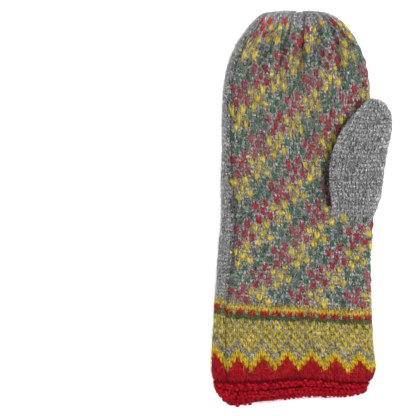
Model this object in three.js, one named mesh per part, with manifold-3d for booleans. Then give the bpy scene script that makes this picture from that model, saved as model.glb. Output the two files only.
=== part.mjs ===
import * as THREE from 'three';
import { mergeVertices } from 'three/addons/utils/BufferGeometryUtils.js';
import Module from 'manifold-3d';

// A felted knit mitten for the right hand, lying palm up.
// Millimetres: +Y runs from the wrist to the fingertips, +X towards the thumb, +Z up from the surface.

const wall = 2.6; // felted fabric of the cuff and the hand
const thumbWall = 2.5; // felted fabric of the thumb
const sectionGap = 0.4; // between neighbouring knitted sections
const pressedFlat = 1.2; // how far the round underside of a section is pressed flat
const squareness = 3; // 2 is an ellipse, more is a flatter tube with tighter folds
const ringSteps = 44; // points round the hand and the cuff
const thumbRingSteps = 28; // points round the thumb
const fineSteps = 160; // points that a section is worked out with, before they are spaced evenly

const bodyLength = 275; // from the lowest point of the rim to the fingertips
const thumbSeam = 2; // along: where the thumb's straight tube leaves its root in the palm
const moundRise = 9.2; // how far the palm is lifted where it runs up onto the thumb
const moundFrom = -46; // along: where the palm starts to rise
const moundCrest = -1.5; // along: the crest, at the lower lip of the thumb's slit
const moundEnd = 1.5; // along: behind the slit the palm lies low again, under the thumb
const moundLeft = 9; // across: the left foot of the mound
const moundFull = 30; // across: from here to the thumb's side the mound has its full height
const moundFoot = 5; // height: the side of the hand starts to rise with the mound
const moundShoulder = 9.5; // height: from here up it rises in full
const thumbDroop = 3.4; // how far the thumb's outer edge hangs down past the palm
const droopFrom = 44; // across: where the thumb starts to hang down
const droopTo = 63; // across: the thumb's outermost edge
const gatherDepth = 0.9; // depth of the folds at the gathered tip
const gatherFolds = 11; // folds round the tip
const gatherFrom = 104; // along: where the folds begin
const gatherEase = 8; // the power with which the folds fade out at the very tip
const lipRound = 0.8; // how far the rim's rounded lip stands out
const slantFades = -12; // along: above here the rows no longer slant

// Outline of the cuff and hand: left and right edges, underside and top.
const bodySections = [
  { along: -138, left: -60.6, right: 46.6, low: 0, high: 12.4 },
  { along: -126, left: -60.8, right: 47, low: 0, high: 12.8 },
  { along: -119, left: -61.7, right: 48.7, low: 0, high: 13.4 },
  { along: -112, left: -63, right: 50.8, low: 0, high: 14.2 },
  { along: -98, left: -62.8, right: 50, low: 0, high: 14 },
  { along: -65, left: -61, right: 48.3, low: 0, high: 13.9 },
  { along: -32, left: -58.9, right: 47.7, low: 0, high: 13.7 },
  { along: -3, left: -56.2, right: 48.4, low: 0, high: 13.5 },
  { along: 40, left: -56.3, right: 48.2, low: 0, high: 13.4 },
  { along: 77, left: -55.5, right: 47.6, low: 0, high: 13.5 },
  { along: 97, left: -52.6, right: 45.5, low: 0, high: 13.4 },
  { along: 114, left: -46.4, right: 39.2, low: 0.1, high: 12.6 },
  { along: 126.5, left: -38, right: 30.8, low: 0.5, high: 11.2 },
  { along: 133, left: -31, right: 23.6, low: 1.2, high: 9.6 },
  { along: 136.3, left: -23, right: 18.4, low: 2.2, high: 8 },
  { along: 137.5, left: -13.5, right: 15, low: 3.6, high: 6.2 },
];

// The wrist's three cross lines: where the stripe, the first groove and the rim lie along, at places across.
const crossLines = [
  { across: -63, stripe: -64.7, groove: -121, rim: -123.2 },
  { across: -57, stripe: -65, groove: -121.7, rim: -129.9 },
  { across: -46, stripe: -65.6, groove: -121.9, rim: -136.5 },
  { across: -30, stripe: -66.4, groove: -121, rim: -133.5 },
  { across: 2, stripe: -68, groove: -118, rim: -130.6 },
  { across: 30, stripe: -69.4, groove: -121.2, rim: -130.1 },
  { across: 42, stripe: -70, groove: -122.2, rim: -128 },
  { across: 51, stripe: -70.4, groove: -121.5, rim: -123.6 },
];

// The hem's ridges: share of the way from the groove to the rim, and how far the surface swells there.
const hemRidges = [
  { share: 0, swell: -0.7 },
  { share: 0.22, swell: 0.5 },
  { share: 0.42, swell: 0.5 },
  { share: 0.52, swell: -0.5 },
  { share: 0.68, swell: 0.4 },
  { share: 0.9, swell: 0.3 },
  { share: 1, swell: -0.5 },
];

// Outline of the thumb, from inside the palm to its tip.
const thumbSections = [
  { along: -34, left: 26, right: 42, low: 3, high: 11 },
  { along: -24, left: 24, right: 46, low: 3, high: 14.4 },
  { along: -14, left: 22.4, right: 48.6, low: 3.6, high: 18.2 },
  { along: -8, left: 21.4, right: 50.2, low: 5.4, high: 20.6 },
  { along: -4, left: 20.8, right: 51.3, low: 8.2, high: 22 },
  { along: -1, left: 20.4, right: 52.2, low: 11, high: 23 },
  { along: 2, left: 20.3, right: 53.1, low: 13.6, high: 23.8 },
  { along: 8.4, left: 19.3, right: 55.1, low: 13.8, high: 24.8 },
  { along: 18, left: 18.3, right: 56.4, low: 13.8, high: 24.9 },
  { along: 28, left: 18.4, right: 57.7, low: 13.7, high: 24.8 },
  { along: 38, left: 20.4, right: 59.4, low: 13.6, high: 24.6 },
  { along: 46, left: 23.1, right: 61, low: 13.6, high: 24.4 },
  { along: 54, left: 27.2, right: 62.4, low: 13.6, high: 24 },
  { along: 62, left: 33.2, right: 63, low: 13.6, high: 23.4 },
  { along: 68, left: 38.6, right: 62, low: 13.7, high: 22.6 },
  { along: 72.5, left: 42.8, right: 59, low: 14, high: 21.4 },
  { along: 75, left: 45.6, right: 56.4, low: 14.8, high: 20 },
  { along: 76.2, left: 48.4, right: 53.8, low: 16, high: 18.6 },
];

// Where rings are placed along the hand: closer together over the mound, and at the tip.
const handStations = [
  ...[-57, -45, -36, -28, -20, -13, -7, moundCrest, moundEnd, 12, 32],
  ...[52, 74, 90, 102, 112, 120, 127, 132, 135, 136.8, bodyLength / 2],
];
const handInnerStations = [-57, -45, -34, -24, -15, -9.5, -6.7, -3.7, 14, 42, 80, 102, 118, 128, 132.4];
const bandShares = [0, 0.08, 0.35, 0.7, 1]; // rings of the band, as shares of the way from groove to stripe
const hemInnerShares = [0, 0.5, 1]; // rings inside the hem, as shares of the way from groove to rim
const thumbStations = [-34, -24, -14, -8, -4, -1, 2, 8, 18, 30, 42, 52, 60, 66, 71, 74, 75.6, 76.2];
const thumbInnerStations = [-34, -24, -14, -8, -4, -1, 2, 8, 18, 38, 54, 64, 70, 72.6];

// A function of place that runs smoothly through the named columns of a table.
function smoothTable(rows, placeColumn, columns) {
  const places = rows.map((row) => row[placeColumn]);
  const values = rows.flatMap((row) => columns.map((column) => row[column]));
  const curve = new THREE.CubicInterpolant(places, values, columns.length);
  const first = places[0];
  const last = places[places.length - 1];
  return (place) => {
    const found = curve.evaluate(THREE.MathUtils.clamp(place, first, last));
    return Object.fromEntries(columns.map((column, n) => [column, found[n]]));
  };
}

const outlineColumns = ['left', 'right', 'low', 'high'];
const bodyAt = smoothTable(bodySections, 'along', outlineColumns);
const thumbAt = smoothTable(thumbSections, 'along', outlineColumns);
const lineAt = smoothTable(crossLines, 'across', ['stripe', 'groove', 'rim']);

// One of the wrist's cross lines, or a line a share of the way from one to the next, moved along by shift.
function wristLine(from, to, share, shift) {
  return (across) => {
    const lines = lineAt(across);
    return THREE.MathUtils.lerp(lines[from], lines[to], share) + shift;
  };
}

// A line over the hand. Near the stripe it slants with the stripe, and higher up it runs straight across.
function handLine(along) {
  const straightStripe = lineAt(0).stripe;
  const slant = THREE.MathUtils.clamp((slantFades - along) / (slantFades - straightStripe), 0, 1);
  return (across) => along + slant * (lineAt(across).stripe - straightStripe);
}

function signedPower(value, power) {
  return Math.sign(value) * Math.abs(value) ** power;
}

// One ring round a flattened tube: a squarish oval whose underside is pressed flat.
// It starts at the left fold, runs over the top to the right fold and comes back underneath.
function flatRing({ left, right, low, high }, alongAt, steps) {
  const middle = (left + right) / 2;
  const reach = (right - left) / 2;
  const centre = (low + high - pressedFlat) / 2;
  const rise = (high - low + pressedFlat) / 2;
  const around = [];
  for (let n = 0; n < fineSteps; n++) {
    const angle = Math.PI - (n / fineSteps) * 2 * Math.PI;
    const x = middle + reach * signedPower(Math.cos(angle), 2 / squareness);
    const z = centre + rise * signedPower(Math.sin(angle), 2 / squareness);
    around.push(new THREE.Vector3(x, alongAt(x), Math.max(low, z)));
  }
  const loop = new THREE.CatmullRomCurve3(around, true);
  loop.arcLengthDivisions = 4 * fineSteps;
  const ring = loop.getSpacedPoints(steps).slice(0, steps);
  ring.forEach((point) => {
    point.z = Math.max(low, point.z);
  });
  return ring;
}

// How far the palm is lifted at a point by the thumb's root, a mound that drops steeply at the slit.
// Inside the fabric the drop comes earlier, so that the slit's upper lip is a full layer.
function moundAt(point, inset) {
  const { smoothstep } = THREE.MathUtils;
  const drop = point.y + 2 * Math.max(0, inset);
  const rise = smoothstep(point.y, moundFrom, moundCrest) * (1 - smoothstep(drop, moundCrest, moundEnd));
  const upper = smoothstep(point.z, moundFoot, moundShoulder);
  return moundRise * rise * upper * smoothstep(point.x, moundLeft, moundFull);
}

// The cuff's or hand's ring along a line. A positive inset moves it into the fabric, a negative one out.
function bodyRing(alongAt, inset) {
  const nominal = bodyAt(alongAt(0));
  const { left } = bodyAt(alongAt(nominal.left));
  const { right } = bodyAt(alongAt(nominal.right));
  const low = Math.max(0, nominal.low + inset);
  const high = nominal.high - inset;
  const ring = flatRing({ left: left + inset, right: right - inset, low, high }, alongAt, ringSteps);
  ring.forEach((point) => {
    point.z += moundAt(point, inset);
  });
  return ring;
}

// The thumb's ring. Its outer edge hangs down past the palm.
function thumbRing(along, inset) {
  const { left, right, low, high } = thumbAt(along);
  const outline = { left: left + inset, right: right - inset, low: low + inset, high: high - inset };
  const ring = flatRing(outline, () => along, thumbRingSteps);
  ring.forEach((point) => {
    point.z -= thumbDroop * THREE.MathUtils.smoothstep(point.x, droopFrom, droopTo);
  });
  return ring;
}

// A skin over rings that run from the wrist to the tip. With wrap, the last ring joins the first,
// as for an open tube with an outside and an inside. Without it, both ends are closed by fans.
function skin(rings, wrap) {
  const steps = rings[0].length;
  const points = rings.flat();
  const faces = [];
  const at = (ring, step) => (ring % rings.length) * steps + (step % steps);
  const bands = wrap ? rings.length : rings.length - 1;
  for (let ring = 0; ring < bands; ring++) {
    for (let step = 0; step < steps; step++) {
      faces.push(at(ring, step), at(ring, step + 1), at(ring + 1, step + 1));
      faces.push(at(ring, step), at(ring + 1, step + 1), at(ring + 1, step));
    }
  }
  if (!wrap) {
    closeEnd(points, faces, rings[0], (step) => at(0, step), true);
    closeEnd(points, faces, rings[rings.length - 1], (step) => at(rings.length - 1, step), false);
  }
  const geometry = new THREE.BufferGeometry();
  geometry.setFromPoints(points);
  geometry.setIndex(faces);
  return geometry;
}

// A fan of triangles from a ring to its middle.
function closeEnd(points, faces, ring, at, facesWrist) {
  const middle = ring.reduce((sum, point) => sum.add(point), new THREE.Vector3()).divideScalar(ring.length);
  const hub = points.push(middle) - 1;
  for (let step = 0; step < ring.length; step++) {
    if (facesWrist) faces.push(at(step + 1), at(step), hub);
    else faces.push(at(step), at(step + 1), hub);
  }
}

const wasm = await Module();
wasm.setup();

function toSolid(geometry) {
  const bare = geometry.clone();
  bare.deleteAttribute('normal');
  bare.deleteAttribute('uv');
  const merged = mergeVertices(bare);
  const vertProperties = new Float32Array(merged.attributes.position.array);
  const triVerts = new Uint32Array(merged.index.array);
  return new wasm.Manifold(new wasm.Mesh({ numProp: 3, vertProperties, triVerts }));
}

function toGeometry(solid) {
  const { vertProperties, triVerts } = solid.getMesh();
  const geometry = new THREE.BufferGeometry();
  geometry.setAttribute('position', new THREE.BufferAttribute(vertProperties, 3));
  geometry.setIndex(new THREE.BufferAttribute(triVerts, 1));
  return geometry;
}

// A block that covers everything on one side of a plane across the mitten.
function beyond(along, towardsTip) {
  const block = new THREE.BoxGeometry(bodyLength, bodyLength, bodyLength);
  block.translate(0, along + (towardsTip ? bodyLength / 2 : -bodyLength / 2), 0);
  return toSolid(block);
}

// Shallow folds that run together at the gathered tip.
function gather(ring, along) {
  const share = THREE.MathUtils.clamp((along - gatherFrom) / (bodyLength / 2 - gatherFrom), 0, 1);
  const depth = gatherDepth * share * (1 - share ** gatherEase);
  ring.forEach((point, step) => {
    const turn = (step / ring.length) * gatherFolds * 2 * Math.PI;
    if (step < ring.length / 2) point.z -= depth * (0.5 - 0.5 * Math.cos(turn));
  });
  return ring;
}

// The hand's outer form, and the hollow to take out of it, which runs on past the open wrist.
function handForms() {
  const start = wristLine('stripe', 'groove', 0, sectionGap / 2);
  const pastStart = wristLine('stripe', 'groove', 0, -wall);
  const outside = handStations.map((along) => gather(bodyRing(handLine(along), 0), along));
  const inside = handInnerStations.map((along) => bodyRing(handLine(along), wall));
  const outer = toSolid(skin([bodyRing(start, 0), ...outside], false));
  const inner = toSolid(skin([bodyRing(pastStart, wall), ...inside], false));
  return { outer, inner };
}

// The thumb's outer form and its hollow. Both start inside the palm.
function thumbForms() {
  const outer = toSolid(skin(thumbStations.map((along) => thumbRing(along, 0)), false));
  const inner = toSolid(skin(thumbInnerStations.map((along) => thumbRing(along, thumbWall)), false));
  return { outer, inner };
}

// Wool felt is rough all over and never metallic.
function felt(colour, roughness) {
  return new THREE.MeshStandardMaterial({ color: colour, roughness, metalness: 0 });
}

function redFelt() {
  return felt('#8f1b25', 0.97);
}

function yellowAndGreyFelt() {
  return felt('#a99548', 0.95);
}

function greyFelt() {
  return felt('#80807e', 0.96);
}

function namedMesh(name, geometry, material) {
  const mesh = new THREE.Mesh(geometry, material);
  mesh.name = name;
  return mesh;
}

// The hem's outside has two ridges. Its rings run from the rim's rounded lip up to the groove,
// and back down inside.
function ridgedHem() {
  const hemLine = (share) => wristLine('groove', 'rim', share, (share - 1) * (sectionGap / 2));
  const outside = hemRidges.map(({ share, swell }) => bodyRing(hemLine(share), -swell)).reverse();
  const inside = hemInnerShares.map((share) => bodyRing(hemLine(share), wall));
  const lip = bodyRing(wristLine('groove', 'rim', 1, -lipRound), wall / 2);
  return namedMesh('hem', skin([...outside, ...inside, lip], true), redFelt());
}

function patternedBand() {
  const bandLine = (share) => wristLine('groove', 'stripe', share, (0.5 - share) * sectionGap);
  const outside = bandShares.map((share) => bodyRing(bandLine(share), 0));
  const inside = bandShares.map((share) => bodyRing(bandLine(share), wall)).reverse();
  return namedMesh('cuff_band', skin([...outside, ...inside], true), yellowAndGreyFelt());
}

// The hand is hollow. The thumb's root rises out of the palm, and its way in is a slit in the palm.
function hand(body, thumb) {
  const root = thumb.outer.intersect(beyond(thumbSeam, false));
  const solid = body.outer.add(root).subtract(body.inner).subtract(thumb.inner);
  return namedMesh('hand', toGeometry(solid), greyFelt());
}

function thumbTube(thumb) {
  const solid = thumb.outer.subtract(thumb.inner).intersect(beyond(thumbSeam + sectionGap, true));
  return namedMesh('thumb', toGeometry(solid), greyFelt());
}

const body = handForms();
const thumb = thumbForms();
const mitten = new THREE.Group();
mitten.name = 'mitten';
mitten.add(ridgedHem(), patternedBand(), hand(body, thumb), thumbTube(thumb));

export default mitten;
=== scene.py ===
import math
import bpy
import numpy as np
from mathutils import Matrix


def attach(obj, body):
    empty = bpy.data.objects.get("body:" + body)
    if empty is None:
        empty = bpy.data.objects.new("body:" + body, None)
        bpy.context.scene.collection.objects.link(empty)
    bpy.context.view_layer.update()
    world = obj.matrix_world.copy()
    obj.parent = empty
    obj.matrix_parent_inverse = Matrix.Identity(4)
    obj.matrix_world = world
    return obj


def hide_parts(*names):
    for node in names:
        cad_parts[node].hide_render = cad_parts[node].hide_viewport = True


# A felted knit mitten for the right hand, lying palm up.
# Worked out in millimetres and made in metres: +Y runs from the wrist to the fingertips, +X to the thumb.
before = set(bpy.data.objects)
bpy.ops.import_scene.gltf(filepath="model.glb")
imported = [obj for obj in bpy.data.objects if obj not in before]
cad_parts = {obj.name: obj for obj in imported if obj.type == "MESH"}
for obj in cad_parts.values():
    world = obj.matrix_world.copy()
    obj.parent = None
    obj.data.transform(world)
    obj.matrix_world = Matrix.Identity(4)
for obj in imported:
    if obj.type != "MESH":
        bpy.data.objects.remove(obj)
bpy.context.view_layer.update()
mm = 0.001
rng = np.random.default_rng(84)

# Linear colours of the four yarns
yarns = {
    "grey": (0.178, 0.180, 0.179),
    "red": (0.245, 0.003, 0.009),
    "yellow": (0.385, 0.282, 0.004),
    "green": (0.010, 0.08, 0.029),
}
grey, red, yellow, green = range(4)
yarnTable = np.array(list(yarns.values()))


# A smooth curve through a table's columns. The first column is the place.
def smoothTable(rows):
    table = np.array(rows, float)
    places, values = table[:, 0], table[:, 1:]
    steps = np.diff(places)
    slopes = np.diff(values, axis=0) / steps[:, None]
    inner = (values[2:] - values[:-2]) / (places[2:] - places[:-2])[:, None]
    first = 1.5 * slopes[:1] - 0.5 * inner[:1]
    last = 1.5 * slopes[-1:] - 0.5 * inner[-1:]
    tangents = np.vstack([first, inner, last])

    def at(place):
        place = np.clip(np.asarray(place, float), places[0], places[-1])
        n = np.clip(np.searchsorted(places, place, side="right") - 1, 0, len(steps) - 1)
        t = ((place - places[n]) / steps[n])[..., None]
        span = steps[n][..., None]
        through = (
            (2 * t**3 - 3 * t**2 + 1) * values[n]
            + (t**3 - 2 * t**2 + t) * span * tangents[n]
            + (3 * t**2 - 2 * t**3) * values[n + 1]
            + (t**3 - t**2) * span * tangents[n + 1]
        )
        return np.moveaxis(through, -1, 0)

    return at


def smoothStep(value, low, high):
    t = np.clip((np.asarray(value, float) - low) / (high - low), 0, 1)
    return t * t * (3 - 2 * t)


def asFloats(column, row):
    return np.broadcast_arrays(np.asarray(column, float), np.asarray(row, float))


def unit(vectors):
    return vectors / np.maximum(np.linalg.norm(vectors, axis=-1, keepdims=True), 1e-9)


# A smooth bump, 1 in its middle
def bell(apart, width):
    return np.exp(-((apart / width) ** 2))


# How far a column lies from another, the shorter way round
def columnsApart(column, other, count):
    return np.mod(column - other + count / 2, count) - count / 2


# A grid's value between its row i and the next, and between its places j0 and j1
def blend(grid, i, j0, j1, fi, fj):
    lower = (1 - fj) * grid[i, j0] + fj * grid[i, j1]
    upper = (1 - fj) * grid[i + 1, j0] + fj * grid[i + 1, j1]
    return (1 - fi) * lower + fi * upper


# The same for a grid that closes round a ring
def gridBetween(grid, i, j):
    rows, steps = grid.shape[:2]
    i0 = np.clip(i.astype(int), 0, rows - 2)
    whole = np.floor(j).astype(int)
    fi, fj = i - i0, j - whole
    if grid.ndim == 3:
        fi, fj = fi[..., None], fj[..., None]
    return blend(grid, i0, whole % steps, (whole + 1) % steps, fi, fj)


pressed = 1.2  # how far the underside of a tube is pressed flat


# One ring round a flattened tube: x and z at even steps round.
# It starts at the left fold, runs over the top to the right fold and comes back underneath.
def flatRing(left, right, low, high, steps, squareness):
    angle = math.pi - np.linspace(0, 2 * math.pi, 721)
    reach, rise = (right - left) / 2, (high - low + pressed) / 2
    c, s = np.cos(angle), np.sin(angle)
    x = (left + right) / 2 + reach * np.sign(c) * np.abs(c) ** (2 / squareness)
    z = (low + high - pressed) / 2 + rise * np.sign(s) * np.abs(s) ** (2 / squareness)
    z = np.maximum(low, z)
    length = np.concatenate([[0], np.cumsum(np.hypot(np.diff(x), np.diff(z)))])
    even = np.linspace(0, length[-1], steps + 1)[:-1]
    return np.interp(even, length, x), np.interp(even, length, z)


# A tube with one closed end: rings of points along it, at even steps round
class Tube:
    def __init__(self, table, ringAt, ringStep, steps, capDepth):
        alongs = np.arange(table[0][0], table[-1][0] + 0.01, ringStep)
        rings = []
        for along in alongs:
            x, z = ringAt(along, steps)
            rings.append(np.stack([x, np.full(steps, float(along)), z], -1))
        # the closed end draws in over a few more rings
        lastRing = rings[-1]
        hub = lastRing.mean(0)
        capShares = np.linspace(0, 1, 7)[1:]
        for share in capShares:
            ring = lastRing + (hub - lastRing) * share
            ring[:, 1] = alongs[-1] + capDepth * math.sin(share * math.pi / 2)
            rings.append(ring)
        capReach = np.ptp(lastRing[:, 0]) / 2
        self.alongs = np.concatenate([alongs, alongs[-1] + capReach * capShares])
        self.points = np.array(rings)
        self.steps = steps
        around = np.roll(self.points, -1, 1) - np.roll(self.points, 1, 1)
        self.normals = unit(np.cross(around, np.gradient(self.points, axis=0)))

    def ringNumber(self, along):
        return np.interp(along, self.alongs, np.arange(len(self.alongs)))

    def between(self, grid, along, share):
        return gridBetween(grid, self.ringNumber(along), share * self.steps)

    # a point of its surface, and which way is out there
    def surface(self, along, share):
        return self.between(self.points, along, share), unit(self.between(self.normals, along, share))

    # where each share of the way to its closed end lies, at each step round
    def measureWays(self, startAlongs):
        length = np.linalg.norm(np.diff(self.points, axis=0), axis=-1)
        length = np.concatenate([np.zeros((1, self.steps)), np.cumsum(length, axis=0)])
        shares = np.linspace(0, 1, 241)
        self.ways = np.empty((len(shares), self.steps))
        for step in range(self.steps):
            start = np.interp(startAlongs[step], self.alongs, length[:, step])
            wanted = start + shares * (length[-1, step] - start)
            self.ways[:, step] = np.interp(wanted, length[:, step], self.alongs)

    def wayAlong(self, way, share):
        return gridBetween(self.ways, np.clip(way, 0, 1) * (len(self.ways) - 1), share * self.steps)


# How columns end one by one towards a tip, and how folds swallow some of their width
closing = {
    "bunching": 0.62,
    "fade": 2.5,  # rows in which a column's width dwindles away
    "foldWidth": 1.7,
    "foldsLose": 0.85,  # how much the folds give back in the last rows, and where
    "losing": (6, 2),
}


# The width of a tube's columns summed round to one, and its own width
def columnWidths(tube, folds=()):
    count, lastRow, rowStep = tube["columns"], tube["rows"], 0.5
    rows = np.arange(tube["foldsFrom"] - 1, lastRow + 1.01, rowStep)
    rank = np.argsort(np.argsort((np.arange(count) * tube["endOrder"]) % count))
    ending = (1 - tube["keepShare"]) * count
    ends = tube["endsFrom"] + (lastRow - tube["endsFrom"]) * (rank / ending) ** closing["bunching"]
    ends[rank >= ending] = np.inf
    widths = np.clip((ends[None, :] + closing["fade"] - rows[:, None]) / closing["fade"], 0.001, 1)
    growing = smoothStep(rows, tube["foldsFrom"], tube["foldsFull"])[:, None]
    losing = smoothStep(rows, *(lastRow - before for before in closing["losing"]))[:, None]
    growing = growing * (1 - closing["foldsLose"] * losing)
    for column, swallow, _ in folds:
        apart = columnsApart(np.arange(count) + 0.5, column, count)
        widths = widths * (1 - swallow * growing * bell(apart, closing["foldWidth"]))
    sums = np.concatenate([np.zeros((len(rows), 1)), np.cumsum(widths, 1)], 1)

    def summed(column, row):
        turns = np.floor(column / count)
        i = np.clip((row - rows[0]) / rowStep, 0, len(rows) - 1.001)
        i0, within = i.astype(int), column - turns * count
        j0 = np.clip(within.astype(int), 0, count - 1)
        fi = i - i0
        whole = (1 - fi) * sums[i0, count] + fi * sums[i0 + 1, count]
        return blend(sums, i0, j0, j0 + 1, fi, within - j0) + turns * whole

    def width(column, row):
        i = np.clip((row - rows[0]) / rowStep, 0, len(rows) - 1).astype(int)
        return widths[i, np.mod(column, count).astype(int)]

    return summed, width


# place along, left edge, right edge, underside, top
bodySections = [
    (-141, -59.7, 45.8, 0, 12.3),
    (-126, -60.3, 46.2, 0, 12.8),
    (-119, -61.9, 50.4, 0, 13.4),
    (-112, -62.7, 52.3, 0, 14.2),
    (-98, -62.3, 51, 0, 14),
    (-65, -60.5, 49.4, 0, 13.9),
    (-32, -58.4, 48.9, 0, 13.7),
    (-6, -56.2, 49.8, 0, 13.5),
    (15, -56.4, 49.4, 0, 13.4),
    (40, -55.6, 48.8, 0, 13.4),
    (77, -54.9, 48.4, 0, 13.5),
    (97, -52.2, 46.4, 0, 13.4),
    (114, -46, 40.9, 0.1, 12.6),
    (126.5, -37.4, 33.3, 0.5, 11.2),
    (133, -31.2, 27.3, 1.2, 9.6),
    (136.5, -26.2, 21.8, 2.2, 8),
    (137.8, -19, 18.5, 3.6, 6.2),
]
bodyAt = smoothTable(bodySections)

# place across, then where the top of the stripe, the first groove and the rim lie there
crossLines = [
    (-63, -64.7, -121.4, -122.5),
    (-57, -65, -122.1, -131.7),
    (-51, -65.3, -122.2, -137.4),
    (-45, -65.6, -122.3, -138.4),
    (-38, -66, -122, -137),
    (-30, -66.4, -121.7, -135.5),
    (2, -68, -119.1, -131.5),
    (16, -68.7, -120.4, -131.3),
    (30, -69.4, -122.3, -131.2),
    (42, -70, -123, -129.3),
    (51, -70.4, -122, -126.3),
]
linesAt = smoothTable(crossLines)

# place across, and where the thirteenth row of the hand lies there
baseLine = [(-60, -33), (-47, -32.9), (-14, -32.8), (24, -34), (50, -35.5)]
baseAt = smoothTable(baseLine)

# place along, then how far across the palm four of the columns lie
anchorColumns = (5.5, 17.5, 32.5, 40.5)
columnLay = [
    (-110, -49.7, -16.0, 26.5, 49.0),
    (-63, -50.0, -15.6, 23.4, 44.6),
    (-34, -46.8, -13.9, 23.7, 46.0),
    (-4, -45.3, -14.4, 21.6, 45.4),
    (27, -47.6, -16.3, 19.7, 43.6),
    (58, -48.4, -17.8, 18.7, 42.4),
    (89, -47.2, -16.4, 19.4, 42.0),
    (105, -44.0, -14.8, 20.2, 39.5),
]
layAt = smoothTable(columnLay)
# how far they drift round the ring on their way to the tip
tipDrift = {"shares": (0.02, 0.022, 0.02, -0.01), "from": 92, "to": 134}

# share of the way from that row to the tip, then how far ahead the rows run at five places from fold to fold
advancePlaces = (0.02, 0.13, 0.25, 0.37, 0.48)
rowAdvance = [
    (0, 0, 0, 0, 0, 0),
    (0.15, -0.012, -0.001, 0.004, -0.003, -0.014),
    (0.3, -0.018, -0.004, 0.007, 0.005, -0.013),
    (0.5, -0.017, -0.001, 0.018, 0.014, -0.010),
    (0.7, -0.015, 0.001, 0.020, 0.014, -0.011),
    (0.85, -0.006, 0.008, 0.021, 0.012, -0.006),
    (1, 0, 0, 0, 0, 0),
]
advanceGrid = smoothTable(rowAdvance)(np.linspace(0, 1, 41)).T

# rows down from the first groove, and how far the hem's surface swells there
hemRidges = [
    (0, -1.6), (0.35, -0.3), (0.75, 0.9), (1.4, 0.8), (2.05, -2),
    (2.7, 0.5), (3.4, 1), (4.7, 0.6), (6.4, -0.4),
]
hemSwell = smoothTable(hemRidges)

body = {
    "columns": 84,
    "rows": 72,  # from the yellow stripe to the tip
    "borderRows": 16,
    "squareness": 3,  # of its cross-section
    "ringStep": 0.5, "ringPoints": 336, "capDepth": 0.9,
    "stripeRow": -0.5,  # the middle of the yellow stripe's row
    "stripeDrop": 3.1,  # from the top of the stripe's stitches down to the middle of their row
    "grooveRow": -16.7, "hemRows": 5.0,
    "hemRowsMore": 1.2,  # the hem shows one row more at its left corner, and where across it is gained
    "cornerAcross": (-44, -18),
    "baseRow": 12.5, "baseAlong": -34, "tipRow": 72.6, "tipAlong": 137.8, "laidTo": 97,
    "firstRows": (-23, -16.7, -0.5, 12.5, 72),  # where the rows lie to begin with
    "firstAlongs": (-131, -120, -71, -33.5, 137),
    "tipLean": 0.018,  # the tip leans a little towards the side away from the thumb
    "leaning": (120, 137),
    "sideGroove": 5.0,  # the column that the hand's side groove follows, and the border's
    "borderGroove": 4.6, "grooveDepth": 1.15, "grooveWidth": 0.5,
    "groovePart": 0.24,  # how far the columns beside it move apart
    "grooveFades": (60, 70),
    "borderShare": 0.6,  # the border's groove is only this much as deep
    "jog": 2.9,  # the rows climb one row in each round, so they step down at the border's groove
    "jogFull": -13, "jogFades": (1, 8), "firstGrooveDepth": 1.3, "firstGrooveWidth": 0.45,
    "sideSwell": 0.25,  # how much of the hem's ridges is left round the folded sides
    "moundRise": 9.2, "moundFrom": -46, "moundCrest": -1.5, "moundEnd": 1.5,
    "moundHeights": (5, 9.5), "moundAcross": (9, 30), "gatherFolds": 11, "gatherDepth": 1.3,
    "gatherFrom": 106, "foldsFrom": 50, "foldsFull": 63, "foldsFade": (61.5, 67.5),
    "foldWidth": 1.15, "endsFrom": 66, "endOrder": 53, "keepShare": 0.3,
}
# column, share of its width that the fold swallows, depth of the fold
tipFolds = [
    (12.5, 0.1, 0.7), (18, 0.5, 1.1), (24.2, 0.72, 2.2), (30, 0.1, 1.0), (35.5, 0.7, 2.0), (39.5, 0.1, 0.6),
    (49, 0.3, 1.2), (57, 0.6, 1.8), (66, 0.3, 1.2), (74, 0.6, 1.8), (81, 0.2, 0.8),
]


# The mound that the thumb grows from, as far as it has risen
def mound(x, z, risen):
    return body["moundRise"] * risen * smoothStep(z, *body["moundHeights"]) * smoothStep(x, *body["moundAcross"])


def bodyRing(along, steps):
    left, right, low, high = bodyAt(along)
    x, z = flatRing(left, right, low, high, steps, body["squareness"])
    risen = smoothStep(along, body["moundFrom"], body["moundCrest"])
    risen = risen * (1 - smoothStep(along, body["moundCrest"], body["moundEnd"]))
    z = z + mound(x, z, risen)
    # folds that run together at the gathered tip
    share = np.clip((along - body["gatherFrom"]) / (body["tipAlong"] - body["gatherFrom"]), 0, 1)
    turn = np.arange(steps) / steps * body["gatherFolds"] * 2 * math.pi
    crease = (0.5 - 0.5 * np.cos(turn + 0.6 * np.sin(turn * 0.37))) ** 2
    z = z - body["gatherDepth"] * share * (1 - share**5) * crease * np.clip((z - (low + high) / 2) / 3, -1, 1)
    return x, z


bodyTube = Tube(bodySections, bodyRing, body["ringStep"], body["ringPoints"], body["capDepth"])
leaning = smoothStep(bodyTube.points[..., 1], *body["leaning"])
bodyTube.points[..., 1] -= body["tipLean"] * (bodyTube.points[..., 0] + 1) * leaning
baseRing = bodyTube.points[int(bodyTube.ringNumber(body["baseAlong"]))]
bodyTube.measureWays(baseAt(baseRing[:, 0])[0])
half = bodyTube.steps // 2
anchorShares = np.array(
    [
        np.interp(layAt(min(along, body["laidTo"])), ring[: half + 1, 0], np.arange(half + 1) / bodyTube.steps)
        for along, ring in zip(bodyTube.alongs, bodyTube.points)
    ]
)
anchorShares[bodyTube.alongs > body["laidTo"]] = anchorShares[np.searchsorted(bodyTube.alongs, body["laidTo"])]
drifting = smoothStep(bodyTube.alongs, tipDrift["from"], tipDrift["to"])[:, None]
anchorShares += drifting * np.array(tipDrift["shares"])
bodySummed, bodyWidth = columnWidths(body, tipFolds)


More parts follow.
